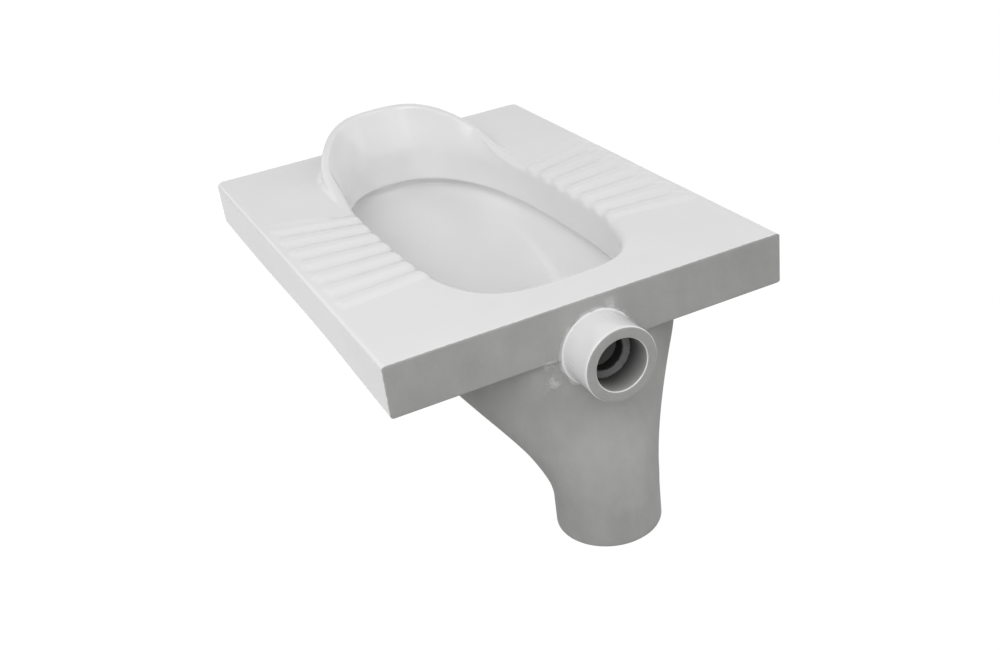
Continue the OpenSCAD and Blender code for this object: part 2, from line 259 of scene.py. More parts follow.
@dataclass(frozen=True)
class Plan:
    """The pan's plan and levels, which its pieces share.

    Plan places are x and y in the row frame. The opening's two halves are superellipses about
    the point where it is widest.
    """

    half_w: float
    face_y: float
    end_y: float
    top_z: float
    skirt_h: float
    open_half: float = 111 * MM
    open_near: float = 60 * MM
    open_far_margin: float = 52 * MM
    open_wide: float = 285 * MM
    near_power: float = 3.4
    far_power: float = 2.4
    wave_height: float = 0.22 * MM
    wave_length: float = 170 * MM
    wave_seed: int = 11

    @classmethod
    def from_frame(cls) -> "Plan":
        """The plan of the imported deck."""
        low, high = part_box("deck")
        return cls(high.x, low.y, high.y, high.z, high.z - low.z)

    @property
    def mid_y(self) -> float:
        """Where the opening is widest."""
        return self.face_y + self.open_wide

    @property
    def near_reach(self) -> float:
        """From the widest place to the opening's near end."""
        return self.open_wide - self.open_near

    @property
    def far_reach(self) -> float:
        """From the widest place to the opening's far end."""
        return self.end_y - self.open_far_margin - self.mid_y

    def opening_reach(
        self, turn: Array, side: float = 0.0, far: float | None = None, far_power: float | None = None
    ) -> Array:
        """Distance from the widest place's middle to the opening's outline, along a ray.

        On a superellipse with half axes a and b and power n, a ray at angle t leaves at
        (abs(cos t / a)^n + abs(sin t / b)^n)^(-1/n).

        Args:
            turn: Angles of the rays, anticlockwise from +X.
            side: How far the outline is moved out at the sides.
            far: How far it is moved out at the far end, where that differs.
            far_power: Another power for the far half.

        Returns:
            The distances.
        """
        far_out = side if far is None else far
        is_near = np.sin(turn) < 0.0
        power = np.where(is_near, self.near_power, self.far_power if far_power is None else far_power)
        depth = np.where(is_near, self.near_reach + side, self.far_reach + far_out)
        across = np.abs(np.cos(turn)) / (self.open_half + side)
        along = np.abs(np.sin(turn)) / depth
        return (across**power + along**power) ** (-1.0 / power)

    def spread(self, turn: Array) -> Array:
        """Length along a ray for each unit of distance from the opening's line."""
        gap = 8 * MM
        return (self.opening_reach(turn, gap) - self.opening_reach(turn)) / gap

    def room(self, x: Array, y: Array) -> Array:
        """Distance of places from the opening's line."""
        turn = np.arctan2(y - self.mid_y, x)
        reach = np.hypot(x, y - self.mid_y)
        return (reach - self.opening_reach(turn)) / self.spread(turn)

    def opening_half(self, y: Array) -> Array:
        """Half the opening's width at a place along the pan."""
        is_near = y < self.mid_y
        power = np.where(is_near, self.near_power, self.far_power)
        depth = np.where(is_near, self.near_reach, self.far_reach)
        along = np.clip(np.abs(y - self.mid_y) / depth, 0.0, 1.0)
        return self.open_half * (1.0 - along**power) ** (1.0 / power)

    def deck_reach(
        self,
        turn: Array,
        side: Array | float,
        near: Array | float,
        near_r: Array | float,
        far_r: Array | float,
    ) -> Array:
        """Distance along a ray to the deck's outline, moved in: a rectangle with round corners.

        A ray that leaves inside a corner's square goes on to that corner's circle, whose
        crossing is the larger root of a quadratic.

        Args:
            turn: Angles of the rays.
            side: How far the sides and the far end are moved in.
            near: How far the inlet face is moved in.
            near_r: Radius of the moved outline's near corners.
            far_r: Radius of its far corners.

        Returns:
            The distances.
        """
        across, along = np.abs(np.cos(turn)), np.abs(np.sin(turn))
        is_near = np.sin(turn) < 0.0
        depth = np.where(is_near, self.open_wide - near, self.end_y - self.mid_y - side)
        radius = np.where(is_near, near_r, far_r)
        width = self.half_w - side
        straight = np.minimum(width / np.maximum(across, 1e-9), depth / np.maximum(along, 1e-9))
        hub_x, hub_y = width - radius, depth - radius
        in_corner = (straight * across > hub_x) & (straight * along > hub_y)
        ahead = across * hub_x + along * hub_y
        root = np.sqrt(np.maximum(ahead**2 - hub_x**2 - hub_y**2 + radius**2, 0.0))
        return np.where(in_corner, ahead + root, straight)

    def place(self, turn: Array, reach: Array) -> tuple[Array, Array]:
        """The x and y at a reach along a ray."""
        return reach * np.cos(turn), self.mid_y + reach * np.sin(turn)

    def wave(self, x: Array, y: Array) -> Array:
        """The slight unevenness that firing leaves in the deck."""
        return self.wave_height * ripple(x, y, np.zeros_like(x), self.wave_length, self.wave_seed)

    def stations(self, count: int, corner_r: float) -> Array:
        """Angles of the rays, closer where the opening or the deck's outline bends or is far.

        The angles stand at even steps of the running sum of the two outlines' lengths and of
        the turning of their tangents.

        Args:
            count: Number of rays, a multiple of 4.
            corner_r: Radius of the deck's far corners.

        Returns:
            The angles, from -90 degrees round.
        """
        fine_steps = 14400
        fine = np.linspace(-QUARTER_TURN, 3.0 * QUARTER_TURN, fine_steps + 1)
        weight = np.zeros(len(fine) - 1)
        outlines = (
            (self.opening_reach(fine), 1.0, 0.8),
            (self.deck_reach(fine, 0.0, 0.0, corner_r, corner_r), 0.7, 0.9),
        )
        for reach, length_part, turn_part in outlines:
            x, y = self.place(fine, reach)
            step = np.hypot(np.diff(x), np.diff(y))
            weight += length_part * step / step.sum()
            heading = np.unwrap(np.arctan2(np.diff(y), np.diff(x)))
            bend = np.abs(np.diff(heading, append=heading[-1]))
            weight += turn_part * bend / bend.sum()
        weight = 0.5 * (weight + weight[::-1])
        total = np.concatenate([[0.0], np.cumsum(weight)])
        return np.interp(np.arange(count) / count * total[-1], total, fine)


@dataclass
class Sheet:
    """Rows of a grid, gathered one stretch after another."""

    plan: Plan
    turn: Array
    rows: list[Array] = field(default_factory=list)
    covers: list[Array] = field(default_factory=list)

    def add(self, reach: Array, depth: Array | float, glaze: Array | float) -> None:
        """Adds one loop of points.

        Args:
            reach: Distance of each point from the opening's middle.
            depth: Depth of each point under the top of the deck.
            glaze: 1 where the points are glazed, 0 where they are bare.
        """
        x, y = self.plan.place(self.turn, reach)
        z = self.plan.top_z - np.broadcast_to(depth, self.turn.shape)
        self.rows.append(np.stack([x, y, z], -1))
        self.covers.append(np.broadcast_to(np.asarray(glaze, float), self.turn.shape))

    def points(self) -> Array:
        """Rows by columns by three coordinates."""
        return np.stack(self.rows)

    def glaze(self) -> Array:
        """Rows by columns of glaze."""
        return np.stack(self.covers)


@dataclass
class Section:
    """A section to turn about an axis, row by row: radius, place on the axis, glaze and tone, a painted
    shade.
    """

    rows: list[tuple[float, ...]] = field(default_factory=list)

    def add(self, radius: float, place: float, glaze: float = 0.0, tone: float = 1.0) -> None:
        """Adds one row."""
        self.rows.append((radius, place, float(glaze), tone))

    def line(self, radius: float, place: float, steps: int) -> None:
        """Adds bare rows in even steps from the last row.

        Args:
            radius: Radius at their end.
            place: Place on the axis at their end.
            steps: Number of rows.
        """
        first = self.rows[-1]
        for t in np.linspace(0.0, 1.0, steps + 1)[1:]:
            self.add(first[0] + (radius - first[0]) * t, first[1] + (place - first[1]) * t)

    def columns(self, count: int) -> Array:
        """Radius, place, glaze and tone, each by row and by station."""
        return np.repeat(np.array(self.rows)[:, :, None], count, 2).transpose(1, 0, 2)


@dataclass
class Hood:
    """The splash hood's section at every station: a leaning face, a round crest, a flared back."""

    plan: Plan
    height: float = 50.7 * MM
    crest_r: float = 6 * MM
    lip_r: float = 10 * MM
    flare_r: float = 10 * MM
    side_flare_r: float = 17 * MM
    side_lean: float = 24.7 * MM
    far_lean: float = 23.4 * MM
    power: float = 2.22
    lean_height: float = 26 * MM
    back_turn: float = math.radians(87)
    rise_from: float = math.radians(33.6)
    rise_to: float = math.radians(79.2)
    rise_power: float = 0.76
    rise_soft: float = math.radians(6)
    tail: tuple[float, float] = (math.radians(15), math.radians(31))
    slope_gain: float = 1.25
    settle: float = 9 * MM
    wall_rows: int = 14
    crest_rows: int = 18
    back_rows: int = 26
    deck_rows: int = 20

    def crest_height(self, turn: Array) -> Array:
        """Height of the crest over the deck: a quarter sine of the angle up the crest's outline.

        Args:
            turn: Angles of the rays.

        Returns:
            The heights, 0 where the opening has a plain rounded lip.
        """
        reach = self.plan.opening_reach(turn, self.side_lean, self.far_lean, self.power)
        across = np.abs(reach * np.cos(turn)) / (self.plan.open_half + self.side_lean)
        along = np.clip(reach * np.sin(turn), 0.0, None) / (self.plan.far_reach + self.far_lean)
        up = np.arctan2(along ** (self.power / 2.0), across ** (self.power / 2.0))
        past = up - self.rise_from
        soft = 0.5 * (past + np.sqrt(past**2 + self.rise_soft**2))
        part = np.clip(soft / (self.rise_to - self.rise_from), 0.0, 1.0)
        return self.height * np.sin(QUARTER_TURN * part**self.rise_power) * smooth(up, *self.tail)

    def add_to(self, sheet: Sheet, wall_depth: float, edge: Array) -> None:
        """Adds the rows from the opening's wall, over the crest, to the flat of the deck.

        The wall is a cubic curve from straight up to the slope of the lean. The crest is an arc
        that turns over by the angle at which the back runs down, the back is straight, and the
        flare is an arc that ends level with the deck. A low crest turns over by the angle whose
        cosine is 1 less its height over the sum of the two radii, so that it has no straight.

        Args:
            sheet: The grid that takes the rows.
            wall_depth: Depth at which the wall starts.
            edge: Reach at which the deck's outer rounding starts.
        """
        plan, turn = self.plan, sheet.turn
        open_reach = plan.opening_reach(turn)
        spread = plan.spread(turn)
        crest = self.crest_height(turn)
        full = plan.opening_reach(turn, self.side_lean, self.far_lean, self.power) - open_reach
        grown = smooth(crest, 0.0, self.lean_height)
        top_r = self.lip_r + (self.crest_r - self.lip_r) * grown
        lean = top_r + (full / spread - top_r) * grown
        slope = np.arctan2(lean - top_r, crest + wall_depth) * self.slope_gain

        hub_z = crest - top_r
        end_x = lean - top_r * np.cos(slope)
        end_z = hub_z + top_r * np.sin(slope)
        pull = (end_z + wall_depth) / 3.0
        knots_x = [0.0, 0.0, end_x - pull * np.sin(slope), end_x]
        knots_z = [-wall_depth, -wall_depth + pull, end_z - pull * np.cos(slope), end_z]
        for t in shares(self.wall_rows):
            weights = [(1 - t) ** 3, 3 * t * (1 - t) ** 2, 3 * t * t * (1 - t), t**3]
            x, z = (sum(w * k for w, k in zip(weights, knots)) for knots in (knots_x, knots_z))
            sheet.add(open_reach + spread * x, -z, 1.0)

        flare_r = self.flare_r + (self.side_flare_r - self.flare_r) * np.cos(turn) ** 2
        most = (top_r + flare_r) * (1.0 - math.cos(self.back_turn))
        over = np.arccos(1.0 - np.minimum(crest, most) / (top_r + flare_r))
        straight = np.maximum(crest - most, 0.0) / math.sin(self.back_turn)
        start = slope - QUARTER_TURN
        for t in shares(self.crest_rows):
            angle = start + (over - start) * t
            x, z = lean + top_r * np.sin(angle), hub_z + top_r * np.cos(angle)
            sheet.add(open_reach + spread * x, -z, 1.0)

        turn_x, turn_z = lean + top_r * np.sin(over), hub_z + top_r * np.cos(over)
        flare_x = turn_x + straight * np.cos(over) + flare_r * np.sin(over)
        beyond = np.minimum(0.5 * ((edge - open_reach) / spread - flare_x), self.settle)
        for t in shares(self.back_rows):
            run = (straight + flare_r * over + beyond) * t
            on_back = np.minimum(run, straight)
            bent = np.clip(run - straight, 0.0, flare_r * over) / flare_r
            flat = np.maximum(run - straight - flare_r * over, 0.0)
            x = turn_x + on_back * np.cos(over) + flare_r * (np.sin(over) - np.sin(over - bent)) + flat
            z = turn_z - on_back * np.sin(over) + flare_r * (np.cos(over) - np.cos(over - bent))
            sheet.add(open_reach + spread * x, -z, 1.0)

        first = open_reach + spread * (flare_x + beyond)
        for t in shares(self.deck_rows):
            sheet.add(first + (edge - first) * t, 0.0, 1.0)


@dataclass
class Deck:
    """The slab with its skirt, and the splash hood that is cast in one with it."""

    plan: Plan
    slab_t: float = 14 * MM
    skirt_t: float = 12 * MM
    edge_r: float = 5.5 * MM
    face_edge_r: float = 2 * MM
    face_corner_r: float = 2.5 * MM
    corner_r: float = 10 * MM
    foot_r: float = 5 * MM
    face_foot_r: float = 1.4 * MM
    inner_foot_r: float = 2.5 * MM
    inside_r: float = 6 * MM
    bow: float = 2.4 * MM
    bow_middle: float = 215 * MM
    bow_reach: float = 250 * MM
    sag: float = 4.5 * MM
    sag_reach: float = 78 * MM
    thinnest_near_r: float = 0.8 * MM
    thinnest_far_r: float = 3 * MM
    foot_cover: float = 0.6
    glaze_back: float = 0.9 * MM
    edge_rows: int = 9
    skirt_rows: int = 12
    rise_shares: tuple[float, ...] = (0.3, 0.65, 1.0)
    under_shares: tuple[float, ...] = (0.2, 0.45, 0.7, 0.88, 0.96)
    count: int = 600

    def fall(self, x: Array, y: Array, side_r: float, face_r: float) -> Array:
        """Fall of the rounded outer edges: the root of the squares of two roundings' falls.

        One rounding goes along the sides, the far end and the far corners, and the other one
        along the inlet face. Each falls as a quarter circle of its radius.

        Args:
            x: Places across the pan.
            y: Places along the pan.
            side_r: Radius of the first rounding.
            face_r: Radius of the second one.

        Returns:
            The depth of the edge's surface at each place.
        """
        out_x = np.abs(x) - (self.plan.half_w - self.corner_r)
        out_y = y - (self.plan.end_y - self.corner_r)
        round_part = np.hypot(np.maximum(out_x, 0.0), np.maximum(out_y, 0.0))
        inside = self.corner_r - round_part - np.minimum(np.maximum(out_x, out_y), 0.0)
        falls = []
        for room, radius in ((inside, side_r), (y - self.plan.face_y, face_r)):
            short = np.clip(radius - room, 0.0, radius)
            falls.append(radius - np.sqrt(radius**2 - short**2))
        return np.hypot(*falls)

    def outline(self, turn: Array, side: Array | float, near: Array | float) -> Array:
        """Reach of the deck's outline moved in, with corners that keep their centres."""
        near_r = np.maximum(self.face_corner_r - near, self.thinnest_near_r)
        far_r = np.maximum(self.corner_r - side, self.thinnest_far_r)
        return self.plan.deck_reach(turn, side, near, near_r, far_r)

    def make(self, hood: Hood) -> Piece:
        """One closed skin: the opening's wall, hood, deck, edges, skirt, and back underneath.

        Args:
            hood: The splash hood's section.

        Returns:
            The piece.
        """
        plan = self.plan
        turn = plan.stations(self.count, self.corner_r)
        sheet = Sheet(plan, turn)
        hood.add_to(sheet, self.slab_t, self.outline(turn, self.edge_r, self.face_edge_r))

        for t in shares(self.edge_rows):
            inset = 1.0 - math.sin(QUARTER_TURN * t)
            reach = self.outline(turn, self.edge_r * inset, self.face_edge_r * inset)
            sheet.add(reach, self.fall(*plan.place(turn, reach), self.edge_r, self.face_edge_r), 1.0)
        wall_first = len(sheet.rows)

        wall = self.outline(turn, 0.0, 0.0)
        x, y = plan.place(turn, wall)
        top = self.fall(x, y, self.edge_r, self.face_edge_r)
        is_face = y < plan.face_y + self.foot_r
        foot = plan.skirt_h + np.where(is_face, self.sag * bump(x, 0.0, self.sag_reach), 0.0)
        end = foot - self.fall(x, y, self.foot_r, self.face_foot_r)
        for t in np.linspace(0.0, 1.0, self.skirt_rows):
            sheet.add(wall, top + (end - top) * t, 1.0)
        for part, _ in quarter(6):
            reach = self.outline(turn, self.foot_r * part, self.face_foot_r * part)
            rise = self.fall(*plan.place(turn, reach), self.foot_r, self.face_foot_r)
            sheet.add(reach, foot - rise, self.foot_cover)

        inner_r, inside_r, skirt_t = self.inner_foot_r, self.inside_r, self.skirt_t
        rows = [(0.5 * (self.foot_r + skirt_t - inner_r), foot), (skirt_t - inner_r, foot)]
        rows += [(skirt_t - inner_r * left, foot - inner_r * gone) for gone, left in quarter(5)]
        wall_last = len(sheet.rows) + len(rows)
        high = self.slab_t + inside_r
        rows += [(skirt_t, foot - inner_r + (high - foot + inner_r) * t) for t in self.rise_shares]
        rows += [(skirt_t + inside_r * gone, self.slab_t + inside_r * left) for gone, left in quarter(5)]
        for inset, depth in rows:
            sheet.add(self.outline(turn, inset, inset), depth, 0.0)
        under = self.outline(turn, skirt_t + inside_r, skirt_t + inside_r)
        opening = plan.opening_reach(turn)
        for t in self.under_shares:
            sheet.add(under + (opening - under) * t, self.slab_t, 0.0)

        points = sheet.points()
        top_side = np.ones(len(points))
        top_side[wall_first:] = 0.0
        top_side[: hood.wall_rows] = smooth(np.arange(hood.wall_rows), 0, hood.wall_rows - 1)
        points[:, :, 2] += top_side[:, None] * plan.wave(points[..., 0], points[..., 1])
        self.warp(points, wall_first, wall_last)
        return make_piece("deck_and_hood", points, sheet.glaze())

    def warp(self, points: Array, first: int, last: int) -> None:
        """Bows the skirt's long sides in towards their foot, as the kiln leaves them.

        Args:
            points: The grid, changed in place.
            first: The row where the skirt starts.
            last: The row after its foot.
        """
        part = points[first:last]
        down = share(self.plan.top_z - part[..., 2], self.edge_r, self.plan.skirt_h)
        along = bump(part[..., 1], self.plan.face_y + self.bow_middle, self.bow_reach)
        is_side = np.abs(part[..., 0]) > self.plan.half_w - self.skirt_t - self.foot_r
        part[..., 0] -= np.sign(part[..., 0]) * self.bow * down * along * is_side


@dataclass
class FlushRim:
    """The boxed rim that hangs from the opening's edge: a C-shaped channel, open to the deck."""

    plan: Plan
    top: float = 14 * MM
    foot: float = 50 * MM
    wall_t: float = 8 * MM
    side_out: float = 39 * MM
    far_out: float = 28 * MM
    lip_r: float = 3.6 * MM
    corner_r: float = 13 * MM
    count: int = 420

    def make(self) -> Piece:
        """The channel's closed section, carried round the opening.

        The section goes down the wall that the opening shows, round its lip, out along the
        floor, up the outer wall and back through the channel. The channel is narrower at the
        far end than at the sides.

        Returns:
            The piece.
        """
        plan = self.plan
        turn = plan.stations(self.count, self.corner_r)
        sheet = Sheet(plan, turn)
        lip_r, wall_t, foot, side = self.lip_r, self.wall_t, self.foot, self.side_out
        rows = [(0.0, depth, 1.0) for depth in np.linspace(self.top, foot - lip_r, 10)]
        rows += [(lip_r * gone, foot - lip_r * left, 1.0) for gone, left in quarter(6)]
        rows += [(out, foot, 1.0) for out in np.linspace(lip_r, side - lip_r, 6)[1:]]
        rows += [(side - lip_r * left, foot - lip_r * gone, 0.0) for gone, left in quarter(4)]
        rows += [(side, depth, 0.0) for depth in np.linspace(foot - lip_r, self.top, 4)[1:]]
        rows += [(side - wall_t, depth, 1.0) for depth in np.linspace(self.top, foot - wall_t, 4)]
        rows += [(wall_t, depth, 1.0) for depth in np.linspace(foot - wall_t, self.top, 4)]
        for out, depth, glaze in rows:
            far = out * self.far_out / side if out > wall_t else out
            sheet.add(plan.opening_reach(turn, out, far), depth, glaze)
        return make_piece("boxed_rim", sheet.points(), sheet.glaze())


@dataclass
class Footrest:
    """Seven tread ribs that fan out from a hub, as one skin that lies on the deck."""

    plan: Plan
    side: Side
    rib_h: float = 2.9 * MM
    square_y: float = 207 * MM
    first_turn: float = -2.0
    last_turn: float = 5.0
    in_x: float = 117 * MM
    out_x: float = 213.5 * MM
    in_pitch: float = 32 * MM
    out_pitch: float = 39.3 * MM
    lip_r: float = 10 * MM
    in_start: float = 1.5 * MM
    in_round: float = 13 * MM
    out_round: float = 13 * MM
    near_part: float = 0.36
    far_part: float = 0.56
    open_ends: tuple[float, float] = (0.62, 0.38)
    fade_from: float = 0.55
    fade_to: float = 0.1
    fade_more: float = 0.4
    fade_arc: tuple[float, float] = (20 * MM, 80 * MM)
    outer_end: tuple[float, float] = (0.3, 1.0)
    inner_end: tuple[float, float] = (0.1, 1.0)
    margin: float = 0.4
    overhang: float = 1.2 * MM
    lift: float = -0.02 * MM
    sink: float = 2.0 * MM
    lip_turn: float = math.radians(84)
    crease: float = 60.0
    rows: int = 300
    lip_cols: int = 14
    cols: int = 76

    def height(self, turn: Array, arc: Array, x: Array) -> Array:
        """Height of the treads over the deck.

        Across the fan, each rib rises in half a cosine wave from the groove on its near side and
        falls in a longer one to the groove on its far side. The near wave grows towards a rib's
        two ends, so that the ends are round in plan. Along the rib, both ends fall in smooth
        steps. Beyond the last rib the height runs out softly into the deck.

        Args:
            turn: Places across the fan, in ribs, with a groove at each whole number.
            arc: Distances along the surface from the opening's wall, over its rounded lip.
            x: Distances from the pan's middle.

        Returns:
            The heights.
        """
        outer = share(x, self.out_x - self.out_round, self.out_x)
        inner = 1.0 - share(arc, self.in_start, self.in_start + self.in_round)
        near = self.near_part + (0.5 - self.near_part) * np.maximum(outer, inner) ** 3
        past = turn - np.floor(turn)
        rise = 0.5 - 0.5 * np.cos(math.pi * np.clip(past / near, 0.0, 1.0))
        fall = 0.5 - 0.5 * np.cos(math.pi * np.clip((1.0 - past) / self.far_part, 0.0, 1.0))
        last = self.last_turn
        open_side = smooth(turn, *(last - part for part in self.open_ends))
        fall = fall + (1.0 - fall) * open_side
        ridge = rise * fall + (1.0 - rise) * open_side
        along = (1.0 - smooth(outer, *self.outer_end)) * (1.0 - smooth(inner, *self.inner_end))
        run_out = last - self.fade_to + self.fade_more * share(arc, *self.fade_arc)
        faded = 1.0 - smooth(turn, last - self.fade_from, run_out)
        return self.rib_h * ridge * along * faded * (turn >= self.first_turn)

    def make(self) -> Piece:
        """The treads' skin on a grid of fan place by place across the deck, closed underneath.

        The skin follows the deck and the opening's rounded lip. It stands off them along the
        surface's normal, which is the cross product of the grid's two directions.

        Returns:
            The piece.
        """
        plan, side = self.plan, self.side.value
        ends = (self.first_turn - self.margin, self.last_turn + self.margin)
        turn = np.linspace(*ends, self.rows)[:, None]
        widening = (self.out_pitch - self.in_pitch) / (self.out_x - self.in_x)

        def along(x: Array) -> Array:
            """The place along the pan of each fan place, at a distance from the middle."""
            pitch = self.in_pitch + widening * (x - self.in_x)
            return plan.face_y + self.square_y + turn * pitch

        lip_room = self.lip_r * (1.0 - np.sin(np.linspace(self.lip_turn, 0.0, self.lip_cols)))[None, :]
        flat = np.linspace(0.0, 1.0, self.cols + 1)[None, 1:]
        x = np.full((self.rows, self.lip_cols + self.cols), self.in_x)
        rounds = 4
        for _ in range(rounds):
            y = along(x)
            half = plan.opening_half(y)
            lean = np.gradient(half, axis=0) / np.gradient(y, axis=0)
            stretch = np.sqrt(1.0 + lean**2)[:, : self.lip_cols]
            lip_x = half[:, : self.lip_cols] + lip_room * stretch
            flat_x = lip_x[:, -1:] + (self.out_x + self.overhang - lip_x[:, -1:]) * flat
            x = np.concatenate([lip_x, flat_x], 1)
        y = along(x)
        room = np.maximum(plan.room(x, y), 0.0)
        short = np.clip(1.0 - room / self.lip_r, 0.0, 1.0)
        lip = self.lip_r * (1.0 - np.sqrt(1.0 - short**2))
        arc = self.lip_r * (QUARTER_TURN - np.arcsin(short)) + np.maximum(room - self.lip_r, 0.0)
        base = np.stack([x * side, y, plan.top_z - lip + plan.wave(x * side, y)], -1)
        normal = np.cross(np.gradient(base, axis=1), np.gradient(base, axis=0)) * side
        normal /= np.linalg.norm(normal, axis=-1, keepdims=True)
        height = self.lift + self.height(turn, arc, x)
        lower = (base - normal * self.sink)[:, ::-1]
        points = np.concatenate([base + normal * height[..., None], lower], 1)
        glaze = np.ones(points.shape[:2])
        name = f"{self.side.name.lower()}_treads"
        return make_piece(name, points, glaze, rows_closed=False, crease=self.crease)


@dataclass
class Bowl:
    """The bowl, the horn and the outlet: one wall that falls and draws back to a round mouth."""

    plan: Plan
    wall_t: float = 11 * MM
    skirt_t: float = 12 * MM
    top: float = 50 * MM
    half_top: float = 149 * MM
    far_top: float = 576 * MM
    upright_h: float = 18 * MM
    wide_y: float = 150 * MM
    pad_half: float = 46 * MM
    set_y: float = 10.5 * MM
    recess: float = 1.6 * MM
    outlet_r: float = 55.5 * MM
    joint: float = 130 * MM
    sweep_from: float = 101.5 * MM
    sweep_to: float = 232 * MM
    funnel_to: float = 214 * MM
    mouth: float = 266 * MM
    pad_thin_from: float = 82 * MM
    cosine_part: float = 0.6
    fall_soft: float = 0.09
    draw_power: float = 1.4
    near_extra: float = 0.3
    far_extra: float = 0.9
    fall_extra: float = 5.4
    mouth_r: float = 3 * MM
    bore_r: float = 2 * MM
    bare_in: float = 20 * MM
    round_reach: float = 7 * MM
    gap: float = 2.6 * MM
    seam_gap: float = 1.5 * MM
    cove_h: float = 22 * MM
    side_cove: float = 3 * MM
    far_cove: float = 6 * MM
    count: int = 300

    def fall(self, z: Array, start: float, end: float) -> Array:
        """The fall from 1 at start to 0 past end: part half cosine, part even with a soft end.

        The even part is half the sum of the way left and the root of its square plus a small
        square, and it fades out over the length up to the spigot.

        Args:
            z: Depths.
            start: Where the fall starts.
            end: Where it would end without the softness.

        Returns:
            The share of the full size that is left.
        """
        left = 1.0 - (z - start) / (end - start)
        even = np.minimum(0.5 * (left + np.sqrt(left**2 + self.fall_soft**2)), 1.0)
        even = even * (1.0 - smooth(z, end, self.sweep_to))
        curved = 0.5 * (1.0 + np.cos(math.pi * share(z, start, end)))
        return self.cosine_part * curved + (1.0 - self.cosine_part) * even

    def half(self, z: Array) -> Array:
        """Half the outside width at a depth."""
        return self.outlet_r + (self.half_top - self.outlet_r) * self.fall(z, self.top, self.funnel_to)

    def back(self, z: Array) -> Array:
        """The outside's near line at a depth, from the inlet face."""
        swept = (self.set_y - self.outlet_r) * smooth(z, self.sweep_from, self.sweep_to)
        swept = swept + self.recess * (1.0 - smooth(z, self.plan.skirt_h, self.sweep_from))
        return np.where(z < self.plan.skirt_h, self.skirt_t, swept)

    def front(self, z: Array) -> Array:
        """The outside's far line at a depth."""
        low = self.set_y + self.outlet_r
        return low + (self.far_top - low) * self.fall(z, self.top + self.upright_h, self.funnel_to)

    def level(self, z: Array, w: Array, near: Array, far: Array) -> Array:
        """Loops of the wall at several depths: superellipses with a flat pad at the near end.

        A loop's point at angle a is its half width times cos a to the power 2 / n across, and
        its reach times sin a to that power along, from its widest place.

        Args:
            z: Depths, one a loop.
            w: Half widths.
            near: Near lines.
            far: Far lines.

        Returns:
            Loops by stations by three coordinates.
        """
        a = circle(self.count, 0.5)[None, :]
        z, w, near, far = (np.asarray(v, float)[:, None] for v in (z, w, near, far))
        s = share(z, self.top, self.funnel_to)
        mid = self.set_y + (self.wide_y - self.set_y) * (1.0 - s) ** self.draw_power
        near_power = 2.0 + self.near_extra * (1.0 - s)
        far_power = 2.0 + (self.far_extra + self.fall_extra * s) * (1.0 - s)
        pad = self.pad_half / w * (1.0 - s)
        tip = mid - (mid - near) * (1.0 - pad**near_power) ** (-1.0 / near_power)
        power = 2.0 / np.where(np.sin(a) < 0.0, near_power, far_power)
        reach = np.where(np.sin(a) < 0.0, mid - tip, far - mid)
        x = w * np.sign(np.cos(a)) * np.abs(np.cos(a)) ** power
        y = np.maximum(mid + reach * np.sign(np.sin(a)) * np.abs(np.sin(a)) ** power, near)
        z_all = np.broadcast_to(self.plan.top_z - z, x.shape)
        return np.stack([x, self.plan.face_y + y, z_all], -1)

    def soften(self, z: Array, values: Array) -> Array:
        """Rounds a line's corners: its mean under a bell curve over nearby depths."""
        gap = z[:, None] - z[None, :]
        weight = np.exp(-0.5 * (gap / (0.5 * self.round_reach)) ** 2)
        return (weight * values[None, :]).sum(1) / weight.sum(1)

    def outer(self, z: Array) -> Array:
        """Loops of the outside."""
        return self.level(z, self.half(z), self.back(z), self.front(z))

    def inner(self, z: Array) -> Array:
        """Loops of the inside: the outside less the wall, with a thick wall behind the inlet."""
        t = self.wall_t
        cove = 1.0 - smooth(z, self.top, self.top + self.cove_h)
        half = np.minimum(self.half(z) - t, self.half(z + t)) - self.side_cove * cove
        far = np.minimum(self.front(z) - t, self.front(z + t)) - self.far_cove * cove
        pad = self.skirt_t * (1.0 - smooth(z, self.pad_thin_from, self.joint))
        near = np.where(z < self.plan.skirt_h, self.skirt_t + t, self.back(z) + t + pad)
        return self.level(z, half, near, self.soften(z, far))

    def depths(self, start: float, end: float) -> Array:
        """Even depths from start to end, about a gap apart."""
        return np.linspace(start, end, max(int(round((end - start) / self.gap)), 2) + 1)

    def wall(self, name: str, start: float, end: float) -> Piece:
        """One closed length of the wall, down its outside and back up its inside.

        The inside is worked out for the whole wall at even depths and read off between them, so
        that the lengths meet where its line is softened.

        Args:
            name: The piece's name.
            start: Depth of its top.
            end: Depth of its lower joint.

        Returns:
            The piece.
        """
        z = self.depths(start, end)
        seam = self.plan.skirt_h
        if start < seam:
            above = np.linspace(start, seam - self.seam_gap, 3)
            z = np.concatenate([above, self.depths(seam, end)])
        fine = self.depths(self.top, self.sweep_to)
        loops = self.inner(fine)
        steps = (z - fine[0]) / (fine[1] - fine[0])
        below = np.clip(steps.astype(int), 0, len(fine) - 2)
        part = (steps - below)[:, None, None]
        inside = loops[below] * (1.0 - part) + loops[below + 1] * part
        points = np.concatenate([self.outer(z), inside[::-1]])
        glaze = np.zeros(points.shape[:2])
        glaze[len(z):] = 1.0
        return make_piece(name, points, glaze)

